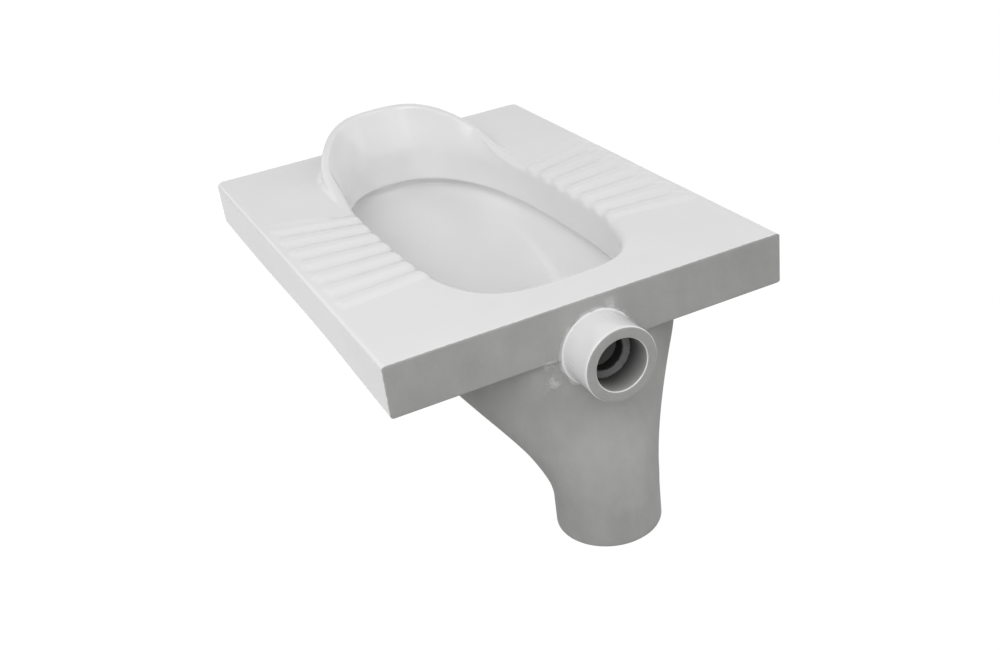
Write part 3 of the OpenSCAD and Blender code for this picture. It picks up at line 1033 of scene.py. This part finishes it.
    def spigot(self) -> Piece:
        """The straight round outlet, with a rounded mouth: a section turned about its axis.

        Returns:
            The piece.
        """
        bore, mouth = self.outlet_r - self.wall_t, self.mouth
        section = Section()
        section.add(self.outlet_r, self.sweep_to)
        section.line(self.outlet_r, mouth - self.mouth_r, 7)
        for gone, left in quarter(5):
            section.add(self.outlet_r - self.mouth_r * gone, mouth - self.mouth_r * left)
        for gone, left in quarter(4, 0):
            section.add(bore + self.bore_r * left, mouth - self.bore_r * gone)
        for z in np.linspace(mouth - self.bore_r, self.sweep_to, 8)[1:]:
            section.add(bore, z, z < mouth - self.bare_in)
        radius, depth, glaze, _ = section.columns(self.count)
        a = circle(self.count, 0.5)
        y = self.plan.face_y + self.set_y + radius * np.sin(a)
        points = np.stack([radius * np.cos(a), y, self.plan.top_z - depth], -1)
        return make_piece("spigot_wall", points, glaze)

    def make(self) -> dict[str, Piece]:
        """The three lengths of the wall, by node."""
        return {
            "bowl": self.wall("bowl_wall", self.top, self.joint),
            "outlet_horn": self.wall("horn_wall", self.joint, self.sweep_to),
            "outlet_spigot": self.spigot(),
        }


@dataclass
class Inlet:
    """The spout for the flush pipe, its bead of slip and the hole behind it."""

    plan: Plan
    outer_r: float
    length: float
    bore_r: float = 27.75 * MM
    bore_l: float = 33 * MM
    way_r: float = 20 * MM
    duct_r: float = 26 * MM
    mouth_r: float = 2.5 * MM
    lip_r: float = 1.6 * MM
    root: float = 2 * MM
    waist: float = 0.5 * MM
    taper: float = 0.8 * MM
    step_w: float = 2 * MM
    step_l: float = 2.4 * MM
    step_gap: float = 0.6 * MM
    way_edge: float = 0.8 * MM
    glazed_left: float = 0.2
    glazed_lip: tuple[float, float] = (0.1, 0.6)
    # Painted shade in the bore: tones that darken the colour towards black, most of all on the water way
    # behind it.
    bore_painted_shade: tuple[float, float] = (0.12, 0.95)
    bore_painted_shade_power: float = 1.4
    step_painted_shade: float = 0.6
    floor_painted_shade: float = 0.65
    way_painted_shade: float = 0.05
    floor_rings: tuple[float, ...] = (2.6 * MM, 1.2 * MM)
    rough: float = 0.45 * MM
    rough_size: float = 3 * MM
    rough_reach: tuple[float, float] = (-1 * MM, 4 * MM)
    rough_seed: int = 5
    lute_w: float = 1.5 * MM
    lute_bite: float = 0.3 * MM
    lute_back: float = 2 * MM
    lute_sunk: float = 1.5 * MM
    lute_cover: float = 0.62
    lute_swell: float = 0.22
    lute_swell_length: float = 0.9
    lute_lump: float = 0.5
    lute_lump_turn: float = math.radians(205)
    lute_lump_reach: float = math.radians(42)
    lute_rough: tuple[float, float] = (0.2 * MM, 0.15 * MM)
    lute_rough_size: float = 5 * MM
    lute_seeds: tuple[int, int] = (8, 9)
    hole_start: float = -5 * MM
    deck_hole: float = 30 * MM
    bowl_hole: float = 40 * MM
    count: int = 192

    @classmethod
    def from_frame(cls, plan: Plan) -> "Inlet":
        """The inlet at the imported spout's size."""
        low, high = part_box("inlet_spout")
        return cls(plan, high.x, plan.face_y - low.y)

    @property
    def axis_z(self) -> float:
        """Height of the spout's axis, which lies at the skirt's lower edge."""
        return self.plan.top_z - self.plan.skirt_h

    def turned(self, radius: Array, out: Array) -> Array:
        """Points of a section turned about the spout's axis.

        Args:
            radius: Distances from the axis, by row, or by row and station.
            out: Distances out of the inlet face, likewise.

        Returns:
            Rows by stations by three coordinates.
        """
        a = circle(self.count)
        x = radius * np.cos(a)
        y = np.broadcast_to(self.plan.face_y - out, x.shape)
        return np.stack([x, y, self.axis_z + radius * np.sin(a)], -1)

    def spout(self) -> Piece:
        """The spout: a barrel that swells a little, a bare end face and a stepped bore.

        Each row of its section holds a radius, the distance out of the face, the glaze and the tone, a
        painted shade that darkens into the bore, on its step and floor, and makes the water way behind
        it almost black.

        Returns:
            The piece.
        """
        end, outer_r, bore_r = self.length, self.outer_r, self.bore_r
        shoulder = end - self.bore_l
        section = Section()
        for t in np.linspace(0.0, 1.0, 12):
            out = (end - self.mouth_r) * t - self.root * (1.0 - t)
            section.add(outer_r - self.waist * math.sin(math.pi * t), out, 1.0)
        for gone, left in quarter(8):
            is_glazed = left > self.glazed_left
            section.add(outer_r - self.mouth_r * gone, end - self.mouth_r * left, is_glazed)
        section.line(bore_r + self.lip_r, end, 4)
        for gone, left in quarter(6):
            is_glazed = self.glazed_lip[0] < left < self.glazed_lip[1]
            section.add(bore_r + self.lip_r * left, end - self.lip_r * gone, is_glazed)
        top, step_top = end - self.lip_r, shoulder + self.step_gap + self.step_l
        # Painted shade: darker rows down the bore, on its step and floor, and nearly black ones in the
        # water way.
        dark, light = self.bore_painted_shade
        for t in np.linspace(0.0, 1.0, 12)[1:]:
            tone = dark + (light - dark) * (1.0 - t) ** self.bore_painted_shade_power
            section.add(bore_r - self.taper * t, top + (step_top - top) * t, 0.0, tone)
        floor = shoulder + self.step_gap
        for gone, left in quarter(4, 0):
            ring = bore_r - self.taper - self.step_w * gone
            section.add(ring, floor + self.step_l * left, 0.0, self.step_painted_shade)
        for beyond in self.floor_rings:
            section.add(self.way_r + beyond, floor, 0.0, self.floor_painted_shade)
        for out in np.linspace(shoulder - self.way_edge, -self.root, 6):
            section.add(self.way_r, out, 0.0, self.way_painted_shade)
        radius, out, glaze, tone = section.columns(self.count)
        a = circle(self.count)
        x, z = radius * np.cos(a), radius * np.sin(a)
        uneven = ripple(x, z, out, self.rough_size, self.rough_seed)
        low, high = self.rough_reach
        deep = (out > shoulder + low) & (out < shoulder + high)
        radius = radius + np.where(deep, self.rough * uneven, 0.0)
        return make_piece("spout", self.turned(radius, out), glaze, tone=tone)

    def lute(self) -> Piece:
        """The bead of slip in the corner between the spout and the face.

        Its section is a hollow quarter round whose size swells and thins round the spout, most
        at the left and below, where the maker's hand left it thick.

        Returns:
            The piece.
        """
        a = circle(self.count)
        first, second = self.lute_seeds
        uneven = ripple(np.cos(a), np.sin(a), np.zeros_like(a), self.lute_swell_length, first)
        lump = bump(a, self.lute_lump_turn, self.lute_lump_reach)
        swell = 1.0 + self.lute_swell * uneven + self.lute_lump * lump
        width = self.lute_w * swell[None, :]
        arc = np.linspace(0.0, QUARTER_TURN, 9)[:, None]
        radius = self.outer_r - self.lute_bite + width * (1.0 - np.sin(arc))
        out = width * (1.0 - np.cos(arc))
        x, z = radius * np.cos(a), radius * np.sin(a)
        uneven = ripple(x, z, out, self.lute_rough_size, second)
        rough_r, rough_out = self.lute_rough
        radius, out = radius + rough_r * uneven, out + rough_out * uneven * np.sin(2.0 * arc)
        back_r = np.full((2, self.count), self.outer_r - self.lute_back)
        sunk = np.full((1, self.count), -self.lute_sunk)
        radius = np.concatenate([radius, back_r, radius[:1]])
        out = np.concatenate([out, out[-1:], sunk, sunk])
        return make_piece("lute_bead", self.turned(radius, out), np.full(radius.shape, self.lute_cover))

    def hole(self, far: float) -> Piece:
        """A rod as wide as the water way, to cut its hole.

        Args:
            far: Where it ends, from the inlet face inwards.

        Returns:
            The rod.
        """
        out = np.repeat(-np.array([[self.hole_start], [far]]), self.count, 1)
        points = self.turned(np.full(out.shape, self.duct_r), out)
        return make_piece("hole", points, np.zeros(out.shape), rows_closed=False)


@dataclass(frozen=True)
class Noise:
    """The size of a noise's patches, the number of its finer layers, and their strength."""

    size: float
    detail: float = 2.0
    rough: float = 0.5


class Wire:
    """A number socket of a material, on which arithmetic adds Math nodes."""

    def __init__(self, board: "Board", socket: Socket) -> None:
        """Holds the socket and the board that it is on."""
        self.board = board
        self.socket = socket

    def math_node(self, kind: str, first: "Wire | float", second: "Wire | float") -> "Wire":
        """One Math node of two inputs."""
        node = self.board.node("Math", {"operation": kind}, {0: first, 1: second})
        return Wire(self.board, node.outputs[0])

    def __add__(self, other: "Wire | float") -> "Wire":
        """Sum."""
        return self.math_node("ADD", self, other)

    __radd__ = __add__

    def __sub__(self, other: "Wire | float") -> "Wire":
        """Difference."""
        return self.math_node("SUBTRACT", self, other)

    def __rsub__(self, other: "Wire | float") -> "Wire":
        """Difference from a number."""
        return self.math_node("SUBTRACT", other, self)

    def __mul__(self, other: "Wire | float") -> "Wire":
        """Product."""
        return self.math_node("MULTIPLY", self, other)

    __rmul__ = __mul__

    def step(self, low: float, high: float) -> "Wire":
        """A smooth step from 0 at low to 1 at high."""
        node = self.board.node(
            "MapRange",
            {"interpolation_type": "SMOOTHSTEP"},
            {"Value": self, "From Min": low, "From Max": high},
        )
        return Wire(self.board, node.outputs["Result"])


class Board:
    """A node tree that is wired up from Python."""

    def __init__(self, tree: bpy.types.NodeTree) -> None:
        """Empties the tree."""
        tree.nodes.clear()
        self.tree = tree

    def node(
        self, kind: str, settings: dict | None = None, inputs: dict | None = None
    ) -> bpy.types.Node:
        """Adds one node.

        Args:
            kind: The node's type, without its first word.
            settings: Its settings, set first.
            inputs: Values, wires or sockets for its inputs, by name or number.

        Returns:
            The node.
        """
        node = self.tree.nodes.new("ShaderNode" + kind)
        for name, value in (settings or {}).items():
            setattr(node, name, value)
        for key, value in (inputs or {}).items():
            socket = value.socket if isinstance(value, Wire) else value
            if isinstance(socket, Socket):
                self.tree.links.new(socket, node.inputs[key])
            else:
                node.inputs[key].default_value = socket
        return node

    def noise(self, place: Socket, kind: Noise) -> Wire:
        """A noise between 0 and 1 at the coordinates."""
        inputs = {"Scale": 1.0 / kind.size, "Detail": kind.detail, "Roughness": kind.rough}
        return Wire(self, self.node("TexNoise", {}, {"Vector": place} | inputs).outputs[0])

    def attribute(self, name: str) -> Wire:
        """A number that the mesh holds at each point."""
        return Wire(self, self.node("Attribute", {"attribute_name": name}).outputs["Fac"])

    def blend(
        self, part: Wire | float, first: tuple | Socket, second: tuple | Socket
    ) -> Socket:
        """A colour between two colours, first where part is 0 and second where it is 1."""
        settings = {"data_type": "RGBA", "blend_type": "MIX"}
        return self.node("Mix", settings, {0: part, 6: first, 7: second}).outputs[2]


def grey(level: float, warm: float = 0.0) -> tuple[float, float, float, float]:
    """A grey with an alpha of 1, warmed by taking some blue away."""
    return (level, level, level * (1.0 - warm), 1.0)


@dataclass(frozen=True)
class Glaze:
    """White gloss glaze over the fired body, and its slightly uneven border."""

    white: float = 0.90
    shade: float = 0.88
    shades: Noise = Noise(90 * MM)
    shade_step: tuple[float, float] = (0.3, 0.7)
    roughness: float = 0.13
    wave: float = 0.035 * MM
    waves: Noise = Noise(22 * MM, 1.0, 0.4)
    edge_noise: Noise = Noise(5 * MM)
    edge_drift: float = 0.35
    edge: tuple[float, float] = (0.42, 0.58)
    line_drift: float = 1.2 * MM
    line: float = 0.25 * MM


@dataclass(frozen=True)
class Bisque:
    """Bare fired body with grain, smears of slip and handling marks."""

    light: float = 0.47
    dark: float = 0.375
    warm: tuple[float, float] = (0.01, 0.015)
    tone_step: tuple[float, float] = (0.25, 0.75)
    smear: float = 0.60
    roughness: float = 0.72
    speckle: float = 0.35
    grain: float = 0.06 * MM
    grains: Noise = Noise(1.1 * MM, 3.0, 0.7)
    patches: Noise = Noise(55 * MM, 4.0, 0.6)
    patch_part: float = 0.55
    streaks: Noise = Noise(16 * MM, 3.0, 0.55)
    streak_part: float = 0.25
    streak_stretch: float = 0.35
    offset: float = 0.1


@dataclass(frozen=True)
class Slip:
    """Slip that was smeared on by hand: flecks under clouds, thick near the middle of a spot."""

    flecks: Noise = Noise(2.2 * MM, 5.0, 0.85)
    fleck_part: float = 0.65
    clouds: Noise = Noise(12 * MM)
    cloud_part: float = 0.35
    near_part: float = 0.25
    cover: tuple[float, float] = (0.62, 0.76)
    core: float = 0.1
    thickness: float = 0.25 * MM


@dataclass(frozen=True)
class Spot:
    """Where slip was smeared, how far it reaches, and the radius of its clean middle."""

    x: float
    y: float
    z: float
    reach: float
    hollow: float = 0.0
    strength: float = 1.0


@dataclass(frozen=True)
class Ceramic:
    """The pan's one material: glaze where the mask says so, bare body elsewhere."""

    name: str
    glaze: Glaze = Glaze()
    bisque: Bisque = Bisque()
    slip: Slip = Slip()
    glaze_from_y: float | None = None
    spots: tuple[Spot, ...] = ()
    # Whether the tone attribute paints shade into the colour, and the black that it paints towards.
    has_painted_shade: bool = False
    black: float = 0.01

    def mask(self, board: Board, place: Socket) -> Wire:
        """1 on glaze and 0 on bare body, with a slightly uneven border.

        Args:
            board: The material's nodes.
            place: Object coordinates.

        Returns:
            The mask.
        """
        glaze = self.glaze
        drift = board.noise(place, glaze.edge_noise) - 0.5
        mask = (board.attribute("glaze") + drift * glaze.edge_drift).step(*glaze.edge)
        if self.glaze_from_y is not None:
            split = board.node("SeparateXYZ", {}, {0: place})
            depth = Wire(board, split.outputs[1]) - self.glaze_from_y + drift * glaze.line_drift
            mask = mask * depth.step(-glaze.line, glaze.line)
        return mask

    def smears(self, board: Board, place: Socket) -> Wire | float:
        """How much slip is smeared on the body: noise near each spot.

        Args:
            board: The material's nodes.
            place: Object coordinates.

        Returns:
            The share of slip.
        """
        slip = self.slip
        total: Wire | float = 0.0
        flecks = board.noise(place, slip.flecks) * slip.fleck_part
        cloud = board.noise(place, slip.clouds) * slip.cloud_part
        for spot in self.spots:
            centre = (spot.x, spot.y, spot.z)
            away = board.node("VectorMath", {"operation": "DISTANCE"}, {0: place, 1: centre})
            far = Wire(board, away.outputs["Value"])
            near = 1.0 - far.step(spot.hollow + spot.reach * slip.core, spot.hollow + spot.reach)
            patch = (flecks + cloud + near * slip.near_part).step(*slip.cover)
            total = near * patch * spot.strength + total
        return total

    def build(self) -> bpy.types.Material:
        """The material.

        Returns:
            A new material.
        """
        material = bpy.data.materials.new(self.name)
        material.use_nodes = True
        board = Board(material.node_tree)
        place = board.node("TexCoord").outputs["Object"]
        mask = self.mask(board, place)
        bare = 1.0 - mask
        glaze, bisque = self.glaze, self.bisque

        patches = board.noise(place, bisque.patches) * bisque.patch_part
        scale = {"Vector": place, "Scale": (1.0, 1.0, bisque.streak_stretch)}
        stretch = board.node("Mapping", {"vector_type": "POINT"}, scale)
        streaks = board.noise(stretch.outputs[0], bisque.streaks)
        grain = board.noise(place, bisque.grains)
        tone = patches + streaks * bisque.streak_part + (grain - 0.5) * bisque.speckle + bisque.offset
        dark, light = grey(bisque.dark, bisque.warm[0]), grey(bisque.light, bisque.warm[1])
        body = board.blend(tone.step(*bisque.tone_step), dark, light)
        soft = board.noise(place, glaze.shades)
        gloss = board.blend(soft.step(*glaze.shade_step), grey(glaze.shade), grey(glaze.white))
        wave = board.noise(place, glaze.waves)
        relief = bare * (grain * bisque.grain) + mask * (wave * glaze.wave)
        if self.spots:
            smears = self.smears(board, place)
            body = board.blend(smears, body, grey(bisque.smear))
            relief = relief + smears * self.slip.thickness
        colour = board.blend(mask, body, gloss)
        # Painted shade: where the tone attribute is low, the colour goes towards black.
        if self.has_painted_shade:
            colour = board.blend(board.attribute("tone"), grey(self.black), colour)
        bump_node = {"Height": relief, "Strength": 1.0, "Distance": 1.0}
        shader = board.node("BsdfPrincipled", {}, {
            "Base Color": colour,
            "Roughness": bare * (bisque.roughness - glaze.roughness) + glaze.roughness,
            "Normal": board.node("Bump", {}, bump_node).outputs[0],
        })
        board.node("OutputMaterial", {}, {"Surface": shader.outputs[0]})
        return material


@dataclass(frozen=True)
class Camera:
    """The photograph's camera: it looks at the pan from above, left of the inlet."""

    aim: tuple[float, float, float] = (0.00163, 0.23255, 0.13033)
    distance: float = 1.40102
    azimuth: float = math.radians(-22.721)
    elevation: float = math.radians(27.659)
    roll: float = math.radians(7.651)
    lens: float = 42.969
    sensor: float = 36.0

    def make(self) -> None:
        """Sets up the scene's camera. Its right side dips by the roll."""
        ahead = -outward(self.azimuth, self.elevation)
        level_right = ahead.cross(Vector((0.0, 0.0, 1.0))).normalized()
        level_up = level_right.cross(ahead)
        right = level_right * math.cos(self.roll) - level_up * math.sin(self.roll)
        up = right.cross(ahead)
        data = bpy.data.cameras.new("camera")
        data.lens, data.sensor_width = self.lens, self.sensor
        camera = put("camera", data)
        turn = Matrix((right, up, -ahead)).transposed().to_4x4()
        camera.matrix_world = Matrix.Translation(Vector(self.aim) - ahead * self.distance) @ turn
        bpy.context.scene.camera = camera


@dataclass(frozen=True)
class Softbox:
    """A square area lamp that faces the pan."""

    name: str
    azimuth: float
    elevation: float
    distance: float
    size: float
    level: float

    def make(self, aim: Vector) -> None:
        """Adds the lamp. A lamp at level 1 lights a facing white surface to white.

        The power for that is pi squared times the distance squared.

        Args:
            aim: The point that it faces.
        """
        way = outward(math.radians(self.azimuth), math.radians(self.elevation))
        data = bpy.data.lights.new(self.name, "AREA")
        data.size = self.size
        data.energy = math.pi**2 * self.distance**2 * self.level
        lamp = put(self.name, data)
        lamp.location = aim + way * self.distance
        lamp.rotation_euler = way.to_track_quat("Z", "Y").to_euler()


@dataclass(frozen=True)
class Studio:
    """A plain pale floor, soft lamps and an even sky."""

    sky: float = 0.265
    floor_grey: float = 0.50
    floor_glow: float = 0.90
    floor_level: float = 1.10
    floor_size: float = 14.0
    dim_to: float = 46 * MM
    glow_from: float = 54 * MM
    lamps: tuple[Softbox, ...] = (
        Softbox("front_left", -42.0, 44.0, 2.2, 1.1, 0.28),
        Softbox("front_right", 42.0, 48.0, 2.4, 1.2, 0.11),
        Softbox("front_low", -15.0, 20.0, 2.4, 1.9, 0.12),
        Softbox("left_high", -88.0, 44.0, 2.4, 1.2, 0.17),
        Softbox("back_left", -150.0, 22.0, 2.4, 1.2, 0.05),
        Softbox("right", 90.0, 38.0, 2.8, 1.8, 0.08),
        Softbox("right_low", 75.0, 18.0, 2.8, 2.0, 0.12),
    )

    def seen(self, board: Board) -> Wire:
        """1 for rays from the camera and in reflections, 0 for rays that light things."""
        path = board.node("LightPath")
        total = Wire(board, path.outputs["Is Camera Ray"]) + Wire(board, path.outputs["Is Glossy Ray"])
        return (total + Wire(board, path.outputs["Is Transmission Ray"])).step(0.0, 1.0)

    def make(self, aim: Vector) -> None:
        """Builds the floor, the lamps and the world.

        The floor doesn't glow inside the outlet's mouth, so that the drain stays dark.

        Args:
            aim: The point that the lamps face.
        """
        half = self.floor_size / 2.0
        mesh = bpy.data.meshes.new("floor")
        corners = [(-half, -half, 0.0), (half, -half, 0.0), (half, half, 0.0), (-half, half, 0.0)]
        mesh.from_pydata(corners, [], [(0, 1, 2, 3)])
        floor = put("floor", mesh)
        material = bpy.data.materials.new("floor_white")
        material.use_nodes = True
        board = Board(material.node_tree)
        lit = board.node("BsdfDiffuse", {}, {"Color": grey(self.floor_grey)})
        glow = board.node("Emission", {}, {"Color": grey(1.0), "Strength": self.floor_level})
        place = board.node("TexCoord").outputs["Object"]
        away = board.node("VectorMath", {"operation": "LENGTH"}, {0: place})
        outside = Wire(board, away.outputs["Value"]).step(self.dim_to, self.glow_from)
        mixed = board.node("MixShader", {}, {
            0: self.seen(board) * outside * self.floor_glow, 1: lit.outputs[0], 2: glow.outputs[0]
        })
        board.node("OutputMaterial", {}, {"Surface": mixed.outputs[0]})
        mesh.materials.append(material)
        for lamp in self.lamps:
            lamp.make(aim)
        world = bpy.data.worlds.new("world")
        world.use_nodes = True
        sky = Board(world.node_tree)
        soft = sky.node("Background", {}, {"Color": grey(1.0), "Strength": self.sky})
        white = sky.node("Background", {}, {"Color": grey(1.0), "Strength": 1.0})
        both = sky.node("MixShader", {}, {
            0: self.seen(sky), 1: soft.outputs[0], 2: white.outputs[0]
        })
        sky.node("OutputWorld", {}, {"Surface": both.outputs[0]})
        bpy.context.scene.world = world


def dress(piece: Piece, material: bpy.types.Material) -> None:
    """Gives a piece one material, and logs its name and its number of faces."""
    piece.data.materials.clear()
    piece.data.materials.append(material)
    LOG.info("%s: %d faces", piece.name, len(piece.data.polygons))


def build(frame: dict) -> None:
    """Builds and dresses every piece.

    Args:
        frame: What the loaded frame holds.
    """
    plan = Plan.from_frame()
    inlet = Inlet.from_frame(plan)
    slab, channel = Deck(plan), FlushRim(plan)
    spots = (
        Spot(-54 * MM, plan.face_y, inlet.axis_z - 4 * MM, 20 * MM),
        Spot(-50 * MM, plan.face_y, inlet.axis_z - 24 * MM, 22 * MM),
        Spot(16 * MM, plan.face_y, inlet.axis_z + 40 * MM, 20 * MM, strength=0.7),
        Spot(0.0, plan.face_y, inlet.axis_z, 11 * MM, hollow=inlet.outer_r),
    )
    line_y = plan.face_y + slab.glaze_back
    face_ceramic = Ceramic("deck_ceramic", glaze_from_y=line_y, spots=spots).build()
    wall_ceramic = Ceramic("wall_ceramic", spots=spots).build()
    plain_ceramic = Ceramic("ceramic").build()
    coarse = Bisque(speckle=0.9, grain=0.12 * MM)
    # The spout's material paints the shade of its bore from the tone attribute.
    spout_ceramic = Ceramic("spout_ceramic", bisque=coarse, has_painted_shade=True).build()

    made: list[tuple[Piece, bpy.types.Material, Slot, tuple[str, ...]]] = []
    deck = slab.make(Hood(plan))
    cut_away(deck, inlet.hole(inlet.deck_hole))
    made.append((deck, face_ceramic, Slot.GLAZED, ("deck", "splash_hood")))
    rim = channel.make()
    cut_away(rim, inlet.hole(plan.open_near - channel.wall_t))
    made.append((rim, plain_ceramic, Slot.GLAZED, ("flush_rim",)))
    for side in Side:
        tread = Footrest(plan, side).make()
        made.append((tread, plain_ceramic, Slot.GLAZED, (f"{side.name.lower()}_footrest",)))
    for name, wall in Bowl(plan).make().items():
        if name == "bowl":
            cut_away(wall, inlet.hole(inlet.bowl_hole))
        made.append((wall, wall_ceramic, Slot.BARE, (name,)))
    made.append((inlet.spout(), spout_ceramic, Slot.GLAZED, ("inlet_spout",)))
    made.append((inlet.lute(), plain_ceramic, Slot.GLAZED, ("spout_lute",)))
    for piece, material, slot, nodes in made:
        dress(piece, material)
        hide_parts(*nodes)
        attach(piece, "root")
    for name in ("inlet_duct", "left_web", "right_web"):
        dress(frame["nodes"][name], plain_ceramic)


def main() -> None:
    """Loads the frame, builds the camera, the pan and the studio."""
    logging.basicConfig(level=logging.INFO, format="%(name)s: %(message)s")
    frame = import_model()
    bpy.context.scene.view_settings.view_transform = "Standard"
    camera = Camera()
    camera.make()
    build(frame)
    Studio().make(Vector(camera.aim))


if __name__ == "__main__":
    main()
